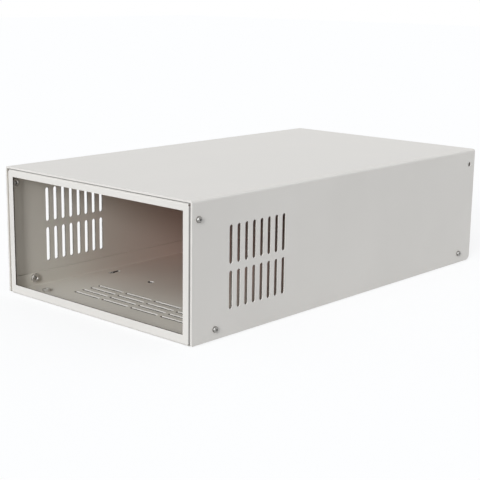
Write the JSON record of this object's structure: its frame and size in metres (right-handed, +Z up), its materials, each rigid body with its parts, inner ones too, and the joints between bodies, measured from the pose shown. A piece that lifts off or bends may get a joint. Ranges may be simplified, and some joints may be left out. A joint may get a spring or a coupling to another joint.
{
  "type": "sheet metal chassis",
  "caption": "Low rectangular equipment enclosure in painted folded sheet: open window frame in front, vented floor, and a U-shaped cover with slotted sides held by small screws.",
  "frame": {"origin": "bottom centre: middle of the box in plan, on the floor's underside, which the part stands on", "axes": "+Y from the open window frame in front to the closed rear wall, +Z up, +X to the right as seen from the front"},
  "size_m": [0.2052, 0.356, 0.1005],
  "materials": {
    "powder_coat": "light warm grey polyester powder coat, fine texture, satin",
    "plated_screw": "bright zinc plate",
    "plated_nut": "zinc plate, dull"
  },
  "bodies": {
    "root": {"base_chassis": "powder_coat", "cover": "powder_coat", "cover_screw_left_front_upper": "plated_screw", "cover_screw_left_front_lower": "plated_screw", "cover_screw_left_rear_upper": "plated_screw", "cover_screw_left_rear_lower": "plated_screw", "cover_screw_right_front_upper": "plated_screw", "cover_screw_right_front_lower": "plated_screw", "cover_screw_right_rear_lower": "plated_screw", "clinch_nut_left_front_upper": "plated_nut", "clinch_nut_left_front_lower": "plated_nut", "clinch_nut_left_rear_upper": "plated_nut", "clinch_nut_left_rear_lower": "plated_nut", "clinch_nut_right_front_upper": "plated_nut", "clinch_nut_right_front_lower": "plated_nut", "clinch_nut_right_rear_upper": "plated_nut", "clinch_nut_right_rear_lower": "plated_nut", "floor_nut_left_front": "plated_nut", "floor_nut_right_front": "plated_nut", "floor_nut_left_rear": "plated_nut", "floor_nut_right_rear": "plated_nut"}
  },
  "joints": []
}
